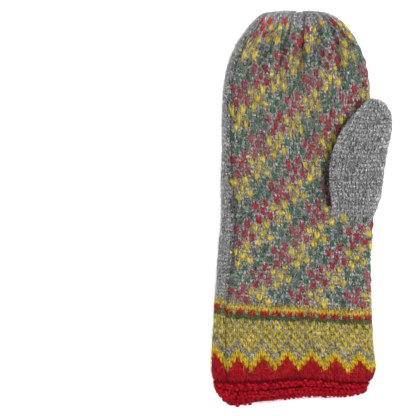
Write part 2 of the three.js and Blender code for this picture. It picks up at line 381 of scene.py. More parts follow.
# share of the way round the ring at which a column lies
def bodyShare(column, row, along):
    column = anchorColumns[0] + np.mod(column - anchorColumns[0], body["columns"])
    place = bodySummed(column, row)
    ring = bodyTube.ringNumber(along)
    anchors = (*anchorColumns, anchorColumns[0] + body["columns"])
    knots = [bodySummed(np.full_like(row, anchor), row) for anchor in anchors]
    shares = [np.interp(ring, np.arange(len(anchorShares)), shareAt) for shareAt in anchorShares.T]
    shares.append(shares[0] + 1)
    share = shares[0]
    for n in range(len(anchorColumns)):
        part = np.clip((place - knots[n]) / (knots[n + 1] - knots[n]), 0, 1)
        share = share + (shares[n + 1] - shares[n]) * part
    return share


# The hem fits one more row in at its left corner
def hemRowsAt(x):
    return body["hemRows"] + body["hemRowsMore"] * (1 - smoothStep(x, *body["cornerAcross"]))


# 0 in the border, 1 in the hand
def handShare(row):
    return smoothStep(row, -1, 2)


# How many columns a place lies from the side groove, which steps aside at the border
def fromGroove(column, row):
    centre = body["borderGroove"] + (body["sideGroove"] - body["borderGroove"]) * handShare(row)
    return np.mod(column + 20, body["columns"]) - 20 - centre


# Where a place in the knitting lies, and which way is out. Row 0 is the top of the yellow stripe's row.
def bodyPlace(column, row):
    column, row = asFloats(column, row)
    stripeRow, baseRow, grooveRow = body["stripeRow"], body["baseRow"], body["grooveRow"]
    along = np.interp(row, body["firstRows"], body["firstAlongs"])
    even = np.clip((row - baseRow) / (body["tipRow"] - baseRow), 0, 1)
    apart = fromGroove(column, row)
    dip = bell(apart, body["grooveWidth"]) * (body["borderShare"] + (1 - body["borderShare"]) * handShare(row))
    dip = dip * (1 - smoothStep(row, *body["grooveFades"]))
    parted = column + body["groovePart"] * np.sign(apart) * dip**0.5
    climb = np.mod(column - body["borderGroove"], body["columns"]) / body["columns"]
    climb = smoothStep(climb, 0.5, 1) * smoothStep(row, grooveRow, body["jogFull"])
    climb = climb * (1 - smoothStep(row, *body["jogFades"]))
    for _ in range(4):
        share = bodyShare(parted, row, along)
        x = bodyTube.between(bodyTube.points[..., 0], along, share)
        stripe, first, rim = linesAt(x)
        stripe = stripe - body["stripeDrop"]
        base = baseAt(x)[0]
        hand = stripe + (base - stripe) * (row - stripeRow) / (baseRow - stripeRow)
        border = stripe + (first - stripe) * (row - stripeRow) / (grooveRow - stripeRow)
        hem = first + (rim - first) * np.minimum((grooveRow - row) / hemRowsAt(x), 1.03)
        folded = np.minimum(np.mod(share, 1), 1 - np.mod(share, 1))
        place = np.interp(folded, advancePlaces, np.arange(len(advancePlaces)))
        ahead = gridBetween(advanceGrid, even * (len(advanceGrid) - 1), place)
        upper = bodyTube.wayAlong(even + ahead, share)
        along = np.where(row > baseRow, upper, np.where(row > stripeRow, hand, border))
        along = np.where(row < grooveRow, hem, along + body["jog"] * climb)
    point, normal = bodyTube.surface(along, share)
    # the side groove, the hem's ridges, then the folds at the tip
    lift = -body["grooveDepth"] * dip
    swell = np.where(row < grooveRow, hemSwell(grooveRow - row)[0], 0)
    firstGroove = body["firstGrooveDepth"] * bell(row - grooveRow, body["firstGrooveWidth"])
    swell = swell - firstGroove * (row >= grooveRow)
    facing = smoothStep(np.abs(normal[..., 2]), 0.1, 0.8)
    lift = lift + swell * (body["sideSwell"] + (1 - body["sideSwell"]) * facing)
    growing = smoothStep(row, body["foldsFrom"], body["foldsFull"]) * (1 - smoothStep(row, *body["foldsFade"]))
    for foldColumn, _, depth in tipFolds:
        apart = columnsApart(column, foldColumn, body["columns"])
        lift = lift - depth * growing * bell(apart, body["foldWidth"])
    point = point + normal * lift[..., None]
    point[..., 2] = np.maximum(point[..., 2], 0)
    return point, normal


print("body laid out")

# place along, left edge, right edge, underside, top
thumbSections = [
    (-8, 22.4, 49.4, 5.4, 20.4),
    (-4, 21.4, 50.4, 8.2, 22),
    (-1, 20.6, 51.5, 11, 23),
    (2, 20.3, 52.6, 13.6, 23.8),
    (8.4, 19.3, 54.7, 13.8, 24.8),
    (18, 18.3, 56, 13.8, 24.9),
    (28, 18.4, 57.3, 13.7, 24.8),
    (38, 20.4, 59, 13.6, 24.6),
    (46, 23.1, 60.9, 13.6, 24.4),
    (54, 27.2, 62.2, 13.6, 24),
    (62, 33.2, 62.5, 13.6, 23.4),
    (67, 37.4, 61.3, 13.7, 22.8),
    (71, 41, 58.9, 13.9, 21.9),
    (73.8, 43.9, 55.8, 14.4, 20.9),
    (75.4, 45.6, 52.9, 15.1, 19.8),
    (76.2, 47.6, 50.8, 16, 18.6),
]
thumbAt = smoothTable(thumbSections)
thumb = {
    "columns": 34, "rows": 29, "from": -6.4, "tip": 76.2, "straightTo": 24, "squareness": 2.4,
    "droop": 3.4, "drooping": (44, 63), "ringStep": 0.4, "ringPoints": 224, "capDepth": 0.4,
    "rowsLeft": 0.6,  # from its last row to the middle of its tip
    "rootEnds": (-1.5, 7),
    "rootCover": 0.2,  # how far its root stands above the palm
    "foldsFrom": 20, "foldsFull": 26, "endsFrom": 21, "endOrder": 21, "keepShare": 0.3,
}


def thumbRing(along, steps):
    left, right, low, high = thumbAt(along)
    x, z = flatRing(left, right, low, high, steps, thumb["squareness"])
    return x, z - thumb["droop"] * smoothStep(x, *thumb["drooping"])


thumbTube = Tube(thumbSections, thumbRing, thumb["ringStep"], thumb["ringPoints"], thumb["capDepth"])
thumbPitch = (thumb["tip"] - thumb["from"]) / thumb["rows"]
thumbTube.measureWays(np.full(thumbTube.steps, float(thumb["straightTo"])))
thumbSummed, thumbWidth = columnWidths(thumb)


# Height of the palm's upper surface, with its mound
def palmHeight(x, along):
    left, right, low, high = bodyAt(along)
    across = np.clip(np.abs(x - (left + right) / 2) / ((right - left) / 2), 0, 1)
    bulge = (1 - across ** body["squareness"]) ** (1 / body["squareness"])
    z = (low + high - pressed) / 2 + (high - low + pressed) / 2 * bulge
    return z + mound(x, z, smoothStep(along, body["moundFrom"], body["moundCrest"]))


# Where a place in the thumb's knitting lies, and which way is out. Row 0 is at the slit in the palm.
def thumbPlace(column, row):
    column, row = asFloats(column, row)
    share = thumbSummed(column, row) / thumbSummed(np.full_like(row, thumb["columns"]), row)
    straightRow = (thumb["straightTo"] - thumb["from"]) / thumbPitch
    way = (row - straightRow) / (thumb["rows"] + thumb["rowsLeft"] - straightRow)
    along = np.where(row > straightRow, thumbTube.wayAlong(way, share), thumb["from"] + row * thumbPitch)
    point, normal = thumbTube.surface(along, share)
    # its root runs out of the palm's own surface
    rooted = (1 - smoothStep(along, *thumb["rootEnds"])) * smoothStep(normal[..., 2], 0.2, 0.8)
    palm = palmHeight(point[..., 0], np.minimum(along, body["moundCrest"]))
    point[..., 2] = point[..., 2] + rooted * np.maximum(palm + thumb["rootCover"] - point[..., 2], 0)
    return point, normal


confetti = {
    "column": 37, "row": 18, "every": 5, "cluster": [(0, 0), (2, 1), (-2, -1), (-1, 2), (1, -2)],
    "from": 5, "to": 43, "firstRow": 2, "lastRow": 66,
}


# Clusters of five single stitches, their colours in slanting bands
def confettiYarn(column, row):
    across, down = column - confetti["column"], confetti["row"] - row
    yarn = np.full(np.shape(across), grey)
    for right, below in confetti["cluster"]:
        i, j = (across - right) / confetti["every"], (down - below) / confetti["every"]
        here = (np.mod(i, 1) == 0) & (np.mod(j, 1) == 0)
        order = np.mod(np.round(i + j), 3).astype(int)
        yarn = np.where(here, np.array([red, yellow, green])[order], yarn)
    return yarn


# The wrist's border, counted down from its yellow stripe, repeats every six columns
def borderYarn(column, row):
    down, place = np.round(1 - row).astype(int), np.mod(column - 4, 6)
    side = np.minimum(place, 6 - place)
    # which rows, which of their stitches, the yarn of these and that of the others
    bands = [
        (down <= 1, side >= 0, yellow, red),
        (down == 2, np.mod(place, 3) == 2, grey, red),
        (down == 3, side >= 0, green, red),
        ((down >= 4) & (down <= 8), np.mod(column + down, 2) == 0, yellow, grey),
        (down == 9, side == 1, yellow, grey),
        (down == 10, np.mod(side, 3) == 0, yellow, grey),
        (down == 11, side >= 2, yellow, grey),
        (down == 12, side == 0, grey, np.where(side == 3, red, yellow)),
        (down == 13, side <= 1, yellow, red),
        (down == 14, side == 0, yellow, red),
    ]
    yarn = np.full(np.shape(down), red)
    for rows, stitches, first, other in bands:
        yarn = np.where(rows, np.where(stitches, first, other), yarn)
    return yarn


back = {"column": 65, "starRow": 36, "petal": 5, "leafStarts": (15, 20, 25)}


# The back's design: an eight-petalled star between leafy sprigs, with small diamonds round it
def backYarn(column, row):
    x, y = column - back["column"], row - back["starRow"]
    ax, ay = np.abs(x), np.abs(y)
    most, least = np.maximum(ax, ay), np.minimum(ax, ay)
    n = back["petal"]
    yarn = np.full(np.shape(x), grey)
    sprig = (ay >= 13) & (ay <= 30) & (ax == 0)
    for start in back["leafStarts"]:
        out = ax - 1
        leaf = np.abs(ay - start - out) <= 1.6 * np.sin(math.pi * (out + 0.8) / 8)
        sprig = sprig | (leaf & (out >= 0) & (out <= 6))
    yarn = np.where(sprig, green, yarn)
    star = (least >= 1) & (least <= n) & (most - least >= 1) & (most - least <= n)
    yarn = np.where(star, yellow, yarn)
    yarn = np.where(ax + ay <= 1, red, yarn)
    for centreX, centreY in ((12, 12), (0, 32)):
        yarn = np.where(np.abs(ax - centreX) + np.abs(ay - centreY) <= 2, red, yarn)
        yarn = np.where((ax == centreX) & (ay == centreY), yellow, yarn)
    return np.where(np.abs(ax - 12) + ay <= 1, green, yarn)


# Boxes round the thumb's root: where the hand is plain, and where it has no stitches of its own
root = {"plain": (19, 53, -5.5, 2), "bare": (22, 49, -3.6, 3.4), "above": 9}


def atRoot(point, box):
    x, y, z = np.moveaxis(point, -1, 0)
    return (x > box[0]) & (x < box[1]) & (y > box[2]) & (y < box[3]) & (z > root["above"])


def handYarn(column, row):
    wrapped = np.mod(column - 2, body["columns"]) + 2
    speckled = (wrapped >= confetti["from"]) & (wrapped <= confetti["to"])
    # the speckles stop a row apart round the tip, and a fold hides some of them
    last = confetti["lastRow"] + np.where(wrapped < 12, -1, np.where(wrapped < 19, 1, 0))
    hidden = (row > 61) & (wrapped > 32) & (wrapped < 38) | (row > 64) & (wrapped > 40)
    speckled = speckled & (row >= confetti["firstRow"]) & (row <= last) & ~hidden
    yarn = np.where(speckled, confettiYarn(wrapped, row), grey)
    yarn = np.where(wrapped > confetti["to"], backYarn(wrapped, row), yarn)
    point, _ = bodyPlace(column + 0.5, row - 0.5)
    return np.where(atRoot(point, root["plain"]), grey, yarn)


handChart = handYarn(*np.meshgrid(np.arange(body["columns"]), np.arange(1, body["rows"] + 3)))


# The chart of the whole body: the hand, the border below it, and red at the hem
def bodyYarn(column, row):
    column, row = np.round(column).astype(int), np.round(row).astype(int)
    above = handChart[np.clip(row - 1, 0, len(handChart) - 1), np.mod(column, body["columns"])]
    below = np.where(row > -body["borderRows"], borderYarn(column, row), red)
    return np.where(row > 0, above, below)


def allGrey(column, row):
    return np.full(np.shape(column), grey)


# How the fuzz of neighbours tints each yarn, and how worn dots fade into the grey
felting = {
    "across": 0.8,  # reach of the fuzz, in columns and in rows
    "up": 1.3,
    "spread": np.array([1, 0.85, 1.25, 0.9]),  # how far each yarn's fuzz spreads, and how bright it is there
    "haze": np.array([1, 0.95, 0.68, 0.95]),
    "least": 0.45, "patchy": 1.1, "uneven": (0.3, 1.7),
    "upper": 0.25,  # more of it in the upper half, and less at the tip
    "tip": 0.7,
    "fade": np.array([0, 0.112, 0.07, 0.07]),  # how far each yarn's worn dots fade, more so in the upper half
    "fadeUpper": 1.2, "fading": (0.55, 0.9),
}


# The upper half is felted more, and the dots stay crisp in the tip
def upperShare(row):
    return smoothStep(row, 22, 40)


def tipShare(row):
    return smoothStep(row, 54, 64)


# Slow drifts over the cloth, between 0 and 1
def patches(column, row):
    wave = np.sin(0.31 * column + 1.7 * np.sin(0.11 * row + 0.6)) + np.sin(0.23 * row - 0.19 * column + 2.1)
    wave = wave + np.sin(0.13 * row + 0.41 * column + 4.0)
    return 0.5 + wave / 6


# Colours along the legs of each stitch, as felting blends them
def feltedColours(yarnOf, columns, rows, column, row, tint):
    yarn = yarnOf(columns, rows)
    patchy, atTip = patches(columns, rows), tipShare(rows)
    colour = np.tile(yarnTable[yarn][:, None, None, :], (1,) + column.shape[1:] + (1,))
    faded = felting["fade"][yarn] * smoothStep(patchy, *felting["fading"]) * (rows > 0)
    faded = faded * (1 + felting["fadeUpper"] * smoothStep(rows, 25, 45)) * (1 - atTip)
    colour = colour + (yarnTable[grey] - colour) * faded[:, None, None, None]
    strength = np.array(tint)[yarn] * (felting["least"] + felting["patchy"] * patchy)
    strength = strength * (1 + felting["upper"] * upperShare(rows) - felting["tip"] * atTip)
    for right in range(-2, 3):
        for up in range(-2, 3):
            other = yarnOf(columns + right, rows + up)
            apartX = (column - (columns + right + 0.5)[:, None, None]) / felting["across"]
            apartY = (row - (rows + up - 0.5)[:, None, None]) / felting["up"]
            amount = strength * (other != yarn) * felting["spread"][other]
            amount = amount[:, None, None] * np.exp(-(apartX**2) - apartY**2)
            amount = np.clip(amount * rng.uniform(*felting["uneven"], amount.shape), 0, 0.8)[..., None]
            haze = yarnTable[other] * felting["haze"][other][:, None]
            colour = colour + (haze[:, None, None, :] - colour) * amount
    return colour


# Small drifts of the stitches off their even grid
def drift(column, row):
    across = 0.10 * np.sin(0.37 * row + 1.3 * np.sin(0.21 * column)) + 0.06 * np.sin(0.9 * row + 0.5 * column)
    up = 0.10 * np.sin(0.33 * column + 0.2 * row) + 0.06 * np.sin(0.8 * column - 0.35 * row + 1)
    return across, up


# Where the legs of a V stitch run, in columns and rows, how thick they are and how far they stray
leg = {
    "foot": 0.07,  # half the gap between the two feet
    "head": 0.34,  # half the gap between the two heads
    "bottom": -0.70, "top": 0.64, "width": 0.27, "thick": 0.8,
    "dive": 0.9,  # how far both ends go under
    "lean": 0.10,  # columns to the left in each row
    "reach": 96,  # degrees round to each side
    "pitch": (0.9, 3.0), "tall": (0.88, 1.12), "broad": (0.82, 1.18), "strayUp": 0.06,
    "strayAcross": 0.04, "strayLean": 0.07, "strayDeep": 0.12,
}


# Half strands: their middle lines moved across and outwards
def strandPoints(centre, normal, across, outwards):
    tangent = unit(np.gradient(centre, axis=-2))
    sideways = unit(np.cross(normal, tangent))
    points = centre[..., None, :] + sideways[..., None, :] * across[..., None]
    return points + normal[..., None, :] * outwards[..., None]


# Legs of V stitches as half strands: points by stitch, leg, ring and place round
def stitchLegs(place, columns, rows, look, wide, tall, lifts):
    t = 0.5 - 0.5 * np.cos(np.linspace(0, math.pi, look["rings"]))
    side = np.array([-1.0, 1.0])[:, None]
    each = (len(columns), 2, 1)
    beside, here = place(columns + 1.0, rows - 0.5)[0], place(columns + 0.0, rows - 0.5)[0]
    pitch = np.clip(np.linalg.norm(beside - here, axis=-1), *leg["pitch"])[:, None, None]
    crowding = np.maximum(look["leastPitch"] / pitch, 1)
    wide, tall, lifts = (value[:, None, None] for value in (wide, tall, lifts))
    gap = look["splay"] * leg["head"] * (1 + (look["together"] - 1) * upperShare(rows))[:, None, None]
    across = side * (leg["foot"] + (gap - leg["foot"]) * t**0.8) * wide * crowding
    up = (leg["bottom"] + (leg["top"] - leg["bottom"]) * t) * tall
    up = up * rng.uniform(*leg["tall"], each) + rng.normal(0, leg["strayUp"], each)
    lean = leg["lean"] + rng.normal(0, leg["strayLean"], (len(columns), 1, 1))
    across = across - lean * up + rng.normal(0, leg["strayAcross"], each) * (0.4 + t)
    driftAcross, driftUp = drift(columns, rows)
    column = columns[:, None, None] + 0.5 + driftAcross[:, None, None] + across
    row = (rows - 0.5 + driftUp)[:, None, None] + up
    full = np.sqrt(np.maximum(1 - np.abs(2 * t - 1) ** 2.6, 0.04))
    half = leg["width"] * pitch * crowding * wide * full * rng.uniform(*leg["broad"], each)
    arch = np.sin(math.pi * (0.1 + 0.8 * t)) ** 0.8
    angle = np.radians(np.linspace(-leg["reach"], leg["reach"], look["round"]))
    sink = -leg["thick"] - leg["dive"] * (1 - arch) + lifts + rng.normal(0, leg["strayDeep"], each)
    high = leg["thick"] * (0.55 + 0.45 * full)
    outwards = sink[..., None] + high[..., None] * np.cos(angle)
    points = strandPoints(*place(column, row), half[..., None] * np.sin(angle), outwards)
    return points, arch, column, row


# Corner numbers of the quads between rings of points, open or closed, for one strand or many
def gridFaces(points, closed=False):
    rings, steps = points.shape[-3:-1]
    ring, step = np.meshgrid(np.arange(rings - 1), np.arange(steps if closed else steps - 1), indexing="ij")
    low, high, after = ring * steps, (ring + 1) * steps, (step + 1) % steps
    quads = np.stack([low + step, low + after, high + after, high + step], -1).reshape(-1, 4)
    start = np.arange(0, points.size // 3, rings * steps)[:, None, None]
    return (start + quads[None]).reshape(-1, 4)


def addObject(name, data):
    made = bpy.data.objects.new(name, data)
    bpy.context.scene.collection.objects.link(made)
    return made


def setInputs(node, **values):
    for key, value in values.items():
        node.inputs[key.replace("_", " ")].default_value = value
    return node


# A piece from points in millimetres, the corner numbers of its faces, its colours and a flat layout.
# It takes the wool of the section that it replaces.
def makePiece(name, node, points, faces, colours, alpha, layout, lowest=0.02, smooth=True):
    slot, wool = sections[node]
    mesh, corners = bpy.data.meshes.new(name), faces.shape[1]
    points = points.reshape(-1, 3).copy()
    points[:, 2] = np.maximum(points[:, 2], lowest)

    def fill(data, key, values, kind=np.float32):
        data.foreach_set(key, values.astype(kind).ravel())

    mesh.vertices.add(len(points))
    fill(mesh.vertices, "co", points * mm)
    mesh.loops.add(faces.size)
    fill(mesh.loops, "vertex_index", faces, np.int32)
    mesh.polygons.add(len(faces))
    fill(mesh.polygons, "loop_start", np.arange(0, faces.size, corners), np.int32)
    fill(mesh.polygons, "use_smooth", np.full(len(faces), smooth), bool)
    mesh.update(calc_edges=True)
    rgba = np.concatenate([colours, np.broadcast_to(alpha, colours.shape[:-1] + (1,))], -1)
    fill(mesh.color_attributes.new("yarnColour", "FLOAT_COLOR", "POINT").data, "color", rgba)
    # laid out by stitch, so a baked copy stays sharp
    fill(mesh.uv_layers.new(name="OFBake").uv, "vector", layout.reshape(-1, 2)[faces.ravel()])
    mesh.materials.append(wool)
    piece = addObject(name, mesh)
    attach(piece, "root")
    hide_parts(node)
    print("  ", name, len(faces) * (corners - 2), "triangles")


# Painted shade and light: how dark the side groove, the folds at the tip and the palm beside and under the thumb
# are painted, and how much lighter the tip, the sides and the thumb's edges are painted
paintedShading = {
    "hand": 0.3,  # painted shade of the side groove in the hand, and how much less of it in its upper half
    "handUpper": 0.14, "border": 0.28, "width": 0.65, "flecks": 0.7, "flecksWidth": 0.95,
    "flecksUpper": 0.4,
    "fold": 0.66,  # for each millimetre of its depth
    "foldMost": 0.88, "foldWidth": 1.4,
    "foldsEase": 0.2,  # how much less dark they are in the last rows
    "easing": (66, 71),
    "tip": 0.6,  # painted light: how much lighter the tip is, with lighter and darker rays; the strip beside the groove is made lighter, and the sides are lighter where they turn away from the top
    "rays": 0.42, "paling": (60, 68), "strip": 0.02, "stripNear": (0.5, 2), "stripFar": (-14, -8), "sides": 0.35,
    "thumb": 0.7,  # painted shadow beside and under the thumb: how dark, how far it reaches and where along it starts and ends
    "besideThumb": (0.8, 6), "alongThumb": (2, 74),
    "thumbEdge": 0.4,  # painted light: how much lighter the thumb is at its edges, and how far in
    "edgeWidth": 5,
}


def grooveUpper(row):
    return smoothStep(row, 28, 42)


# Painted shade of the side groove and the folds at the tip, painted light at the tip and round the sides, and a
# painted shadow by the thumb, one factor for each stitch
def paintedShadeAndLight(columns, rows):
    fromSide, inHand = fromGroove(columns + 0.5, rows), rows > 0
    dark = np.where(inHand, paintedShading["hand"] - paintedShading["handUpper"] * grooveUpper(rows), paintedShading["border"])
    dark = dark * (1 - smoothStep(rows, *body["grooveFades"]))
    shade = 1 - dark * bell(fromSide, paintedShading["width"])
    # painted shade of the folds at the tip
    growing = smoothStep(rows, body["foldsFrom"], body["foldsFull"])
    growing = growing * (1 - paintedShading["foldsEase"] * smoothStep(rows, *paintedShading["easing"]))
    for foldColumn, _, depth in tipFolds:
        dark = np.minimum(paintedShading["fold"] * depth, paintedShading["foldMost"])
        apart = columnsApart(columns + 0.5, foldColumn, body["columns"])
        shade = shade * (1 - dark * growing * bell(apart, paintedShading["foldWidth"]))
    # painted light at the tip, in lighter and darker rays
    rays = np.sin(2.4 * columns) + np.sin(1.1 * columns + 1)
    shade = shade * (1 + (paintedShading["tip"] + paintedShading["rays"] * rays) * smoothStep(rows, *paintedShading["paling"]))
    strip = smoothStep(-fromSide, *paintedShading["stripNear"]) * smoothStep(fromSide, *paintedShading["stripFar"])
    shade = shade * (1 + paintedShading["strip"] * inHand * strip)
    # painted light on the sides that turn away from the top
    point, normal = bodyPlace(columns + 0.5, rows - 0.5)
    up = normal[..., 2]
    shade = shade * (1 + paintedShading["sides"] * inHand * smoothStep(1 - up, 0.05, 0.6) * (up > -0.2))
    # painted shadow on the palm beside and under the thumb
    beside, (start, end) = thumbAt(point[..., 1])[0] - point[..., 0], paintedShading["alongThumb"]
    under = (point[..., 1] > start) & (point[..., 1] < end) & (point[..., 2] > root["above"])
    return shade * (1 - paintedShading["thumb"] * under * (1 - smoothStep(beside, *paintedShading["besideThumb"])))


# Painted shade and light as above, with more painted shade in dark flecks along the side groove
def fleckedShade(columns, rows):
    near = bell(fromGroove(columns + 0.5, rows) - 0.2, paintedShading["flecksWidth"])
    near = near * (1 - paintedShading["flecksUpper"] * grooveUpper(rows))
    flecked = (rows > 0) & (rng.random(len(columns)) < paintedShading["flecks"] * near)
    return paintedShadeAndLight(columns, rows) * np.where(flecked, 0.5, 1)


# Painted light: the thumb is lighter towards its edges
def paintedThumbEdgeLight(columns, rows):
    point, _ = thumbPlace(columns + 0.5, rows - 0.5)
    left, right = thumbAt(point[..., 1])[:2]
    edge = np.minimum(point[..., 0] - left, right - point[..., 0])
    return 1 + paintedShading["thumbEdge"] * (1 - smoothStep(edge, 0, paintedShading["edgeWidth"]))


# All V stitches at these columns and rows of a chart, as one piece
def knitPiece(name, node, place, columns, rows, yarnOf, look, shadeOf):
    yarn = yarnOf(columns, rows)
    count, rings, upper, plain = len(columns), look["rings"], upperShare(rows), yarn == grey

    def byYarn(key):
        return np.array(look[key])[yarn]

    def stitchwise(values):
        return values[:, None, None, None]

    # the coloured ones are narrower and taller in the upper half
    stretched = 0.1 * ~plain * upper
    wide = byYarn("wide") * rng.normal(1, look["spread"], count) * (1 - stretched)
    tall = byYarn("tall") * rng.normal(1, look["spread"], count) * (1 + stretched)
    lifts = byYarn("lift") + rng.normal(0, 0.08, count)
    points, arch, column, row = stitchLegs(place, columns + 0.0, rows + 0.0, look, wide, tall, lifts)
    # melange: every leg a little lighter or darker, least so in the strip beside the side groove
    fromSide = fromGroove(columns, rows)
    strip = (rows > 0) & (fromSide < -1.5) & (fromSide > -14) & (place is bodyPlace)
    speckle = np.where(plain, look["speckle"], look["mottle"]) * np.where(strip, 0.38, 1.05 - 0.08 * upper)
    byLeg, byRing, byPoint = look["grain"]
    tone = byLeg * rng.normal(0, 1, (count, 2, 1, 1)) + byRing * rng.normal(0, 1, (count, 2, rings, 1))
    tone = tone + byPoint * rng.normal(0, 1, points.shape[:4])
    tone = np.exp(np.where(tone < 0, look["darker"], look["brighter"]) * tone * stitchwise(speckle))
    # painted shade: all of them darker where they dive under
    tone = tone * (1 - stitchwise(byYarn("deep")) * (1 - arch[..., None])) * stitchwise(byYarn("tone"))
    # the piece's painted shade and light, stitch by stitch
    tone = tone * stitchwise(shadeOf(columns, rows))
    felted = feltedColours(yarnOf, columns, rows, column, row, look["tint"])[:, :, :, None, :]
    colours, alpha = np.clip(felted * tone[..., None], 0, 0.95), np.where(plain, 1.0, 0.45)
    u = stitchwise(columns - columns.min()) + 0.02 + 0.5 * np.arange(2)[:, None, None]
    u = u + 0.46 * np.linspace(0, 1, look["round"])
    v = stitchwise(rows - rows.min()) + 0.03 + 0.94 * np.linspace(0, 1, rings)[:, None]
    layout = np.stack(np.broadcast_arrays(u / (np.ptp(columns) + 1), v / (np.ptp(rows) + 1)), -1)
    makePiece(name, node, points, gridFaces(points), colours, stitchwise(alpha)[..., None], layout)


# Wool: melange streaks that run along the cloth, cloudy patches, a soft sheen and a fibrous bump
def woolMaterial(name, look):
    material = bpy.data.materials.new(name)
    material.use_nodes = True
    nodes, links = material.node_tree.nodes, material.node_tree.links

    def node(kind, **values):
        return setInputs(nodes.new("ShaderNode" + kind), **values)

    def join(source, output, target, socket):
        links.new(source.outputs[output], target.inputs[socket])

    where, colour, amount = node("TexCoord"), node("Attribute"), node("Mix")
    both, shaded = node("Math"), node("VectorMath")
    colour.attribute_name = "yarnColour"
    amount.data_type, both.operation, shaded.operation = "FLOAT", "MULTIPLY", "SCALE"
    stretch = node("Mapping", Scale=look["stretch"])
    streaks = node("TexNoise", Scale=look["streaks"], Detail=1.0, Roughness=0.5)
    mottle = node("MapRange", From_Min=0.34, From_Max=0.66, To_Min=1 - look["mottle"], To_Max=look["brightest"])
    cloud = node("TexNoise", Scale=look["clouds"], Detail=2.0)
    cloudy = node("MapRange", From_Min=0.3, From_Max=0.7, To_Min=0.88, To_Max=1.12)
    rough = node("MapRange", To_Min=0.82, To_Max=1.0)
    bump = node("Bump", Strength=look["bump"], Distance=0.0005)
    join(where, "Object", stretch, "Vector")
    join(where, "Object", cloud, "Vector")
    join(stretch, "Vector", streaks, "Vector")
    for target, socket in ((mottle, "Value"), (rough, "Value"), (bump, "Height")):
        join(streaks, "Fac", target, socket)
    join(cloud, "Fac", cloudy, "Value")
    # the colour's alpha says how strongly a yarn is mottled
    amount.inputs[2].default_value = 1.0
    join(colour, "Alpha", amount, 0)
    join(mottle, "Result", amount, 3)
    join(amount, 0, both, 0)
    join(cloudy, "Result", both, 1)
    join(colour, "Color", shaded, 0)
    join(both, 0, shaded, "Scale")
    shader = setInputs(nodes["Principled BSDF"], Specular_IOR_Level=look["gloss"], Sheen_Weight=look["sheen"])
    setInputs(shader, Sheen_Roughness=0.6, Sheen_Tint=(0.9, 0.9, 0.88, 1.0))
    join(shaded, 0, shader, "Base Color")
    join(rough, "Result", shader, "Roughness")
    join(bump, "Normal", shader, "Normal")
    return material


wool = {
    "stretch": (1.7, 0.85, 1.2), "streaks": 1250, "mottle": 0.95, "brightest": 1.5, "clouds": 90,
    "bump": 0.7, "gloss": 0.06, "sheen": 0.03,
}
# The slot and the wool of each section
sections = {
    "hand": ("hand_wool", woolMaterial("hand wool", wool)),
    "thumb": ("thumb_wool", woolMaterial("thumb wool", wool)),
    "cuff_band": ("band_wool", woolMaterial("border wool", dict(wool, clouds=110, sheen=0.02))),
    "hem": ("red_wool", woolMaterial("red wool", dict(wool, mottle=0.9, brightest=1.8, clouds=140, sheen=0.0))),
}


# The columns and the rows of every stitch of a chart
def chartPlaces(columns, rows):
    return (grid.ravel() for grid in np.meshgrid(columns, rows))


# How the stitches of each piece stand: width, height and lift of each yarn's
plainStitches = {
    "wide": [1, 1.04, 1, 1], "tall": [1, 1.16, 1.1, 1], "lift": [0, 0.1, 0.1, -0.2],
    "tone": [1.46, 1, 1, 0.78],
    "tint": [0.52, 0.08, 0.1, 0.14],  # how far the fuzz of neighbouring stitches tints each yarn
    "spread": 0.06, "speckle": 0.62,
    "grain": [0.35, 0.6, 0.9],  # how the specks spread over whole legs, rings and points
    "mottle": 0.25, "darker": 2.1, "brighter": 0.36,
    "deep": [0.9, 0.9, 0.9, 0.9],  # painted shade: how far each yarn darkens where its legs dive under
    "rings": 5, "round": 4, "together": 1, "splay": 1, "leastPitch": 0,
}
borderStitches = dict(
    plainStitches, tall=[1, 1.28, 1.16, 1.15], lift=[0, 0.15, 0.2, -0.05],
    tone=[1.24, 0.97, 1.09, 0.8], tint=[0.24, 0.03, 0.1, 0.12], mottle=0.18, speckle=0.43,
    deep=[0.9, 0.5, 0.9, 0.9], splay=1.15,
)
thumbStitches = dict(
    plainStitches, wide=[0.9, 1, 1, 1], tone=[1.46, 1, 1, 1], speckle=0.41,
    grain=[0.55, 0.45, 0.75], darker=1.8, brighter=0.32,
)
dots = dict(
    plainStitches, wide=[1, 1.36, 1.31, 1.22], tall=[1, 1.48, 1.47, 1.32],
    lift=[0, 0.45, 0.48, 0.2], tone=[1, 0.86, 0.99, 0.87], tint=[0, 0.05, 0.05, 0.06], spread=0.13,
    speckle=0.42, mottle=0.2, darker=1.5, brighter=0.6, rings=7, round=6,
    together=0.78,  # their two legs felted together in the upper half
    leastPitch=2.6,  # a dot keeps this width where the columns crowd
)


# The hand's stitches, with none on the step where the thumb leaves the palm
def handPlaces(columns):
    column, row = chartPlaces(columns, range(1, body["rows"] + 1))
    point, _ = bodyPlace(column + 0.5, row - 0.5)
    kept = (bodyWidth(column, row.astype(float)) > 0.25) & ~atRoot(point, root["bare"])
    return column[kept], row[kept]


allRound = range(body["columns"])
column, row = handPlaces(range(2, 44))
plain = bodyYarn(column, row) == grey
knitPiece("palm", "hand", bodyPlace, column[plain], row[plain], bodyYarn, plainStitches, fleckedShade)
knitPiece("palm_dots", "hand", bodyPlace, column[~plain], row[~plain], bodyYarn, dots, paintedShadeAndLight)
column, row = handPlaces(range(44, 86))
knitPiece("back_of_hand", "hand", bodyPlace, column, row, bodyYarn, plainStitches, fleckedShade)
column, row = chartPlaces(allRound, range(1 - body["borderRows"], 1))
knitPiece("border", "cuff_band", bodyPlace, column, row, bodyYarn, borderStitches, paintedShadeAndLight)
column, row = chartPlaces(range(thumb["columns"]), range(1, thumb["rows"] + 1))
kept = thumbWidth(column, row.astype(float)) > 0.4
knitPiece("thumb_tube", "thumb", thumbPlace, column[kept], row[kept], allGrey, thumbStitches, paintedThumbEdgeLight)
print("stitches knitted")

# Purl bumps: two rows in the first ridge of the hem, the rest in the second
hemBumps = {
    "rows": [-17.4, -18.15, -19.45, -20.4, -21.4, -22.4], "rings": 5, "round": 5, "high": 0.42,
    "across": 1.35, "reach": 0.5, "flecks": 0.14, "slope": 0.3,
}


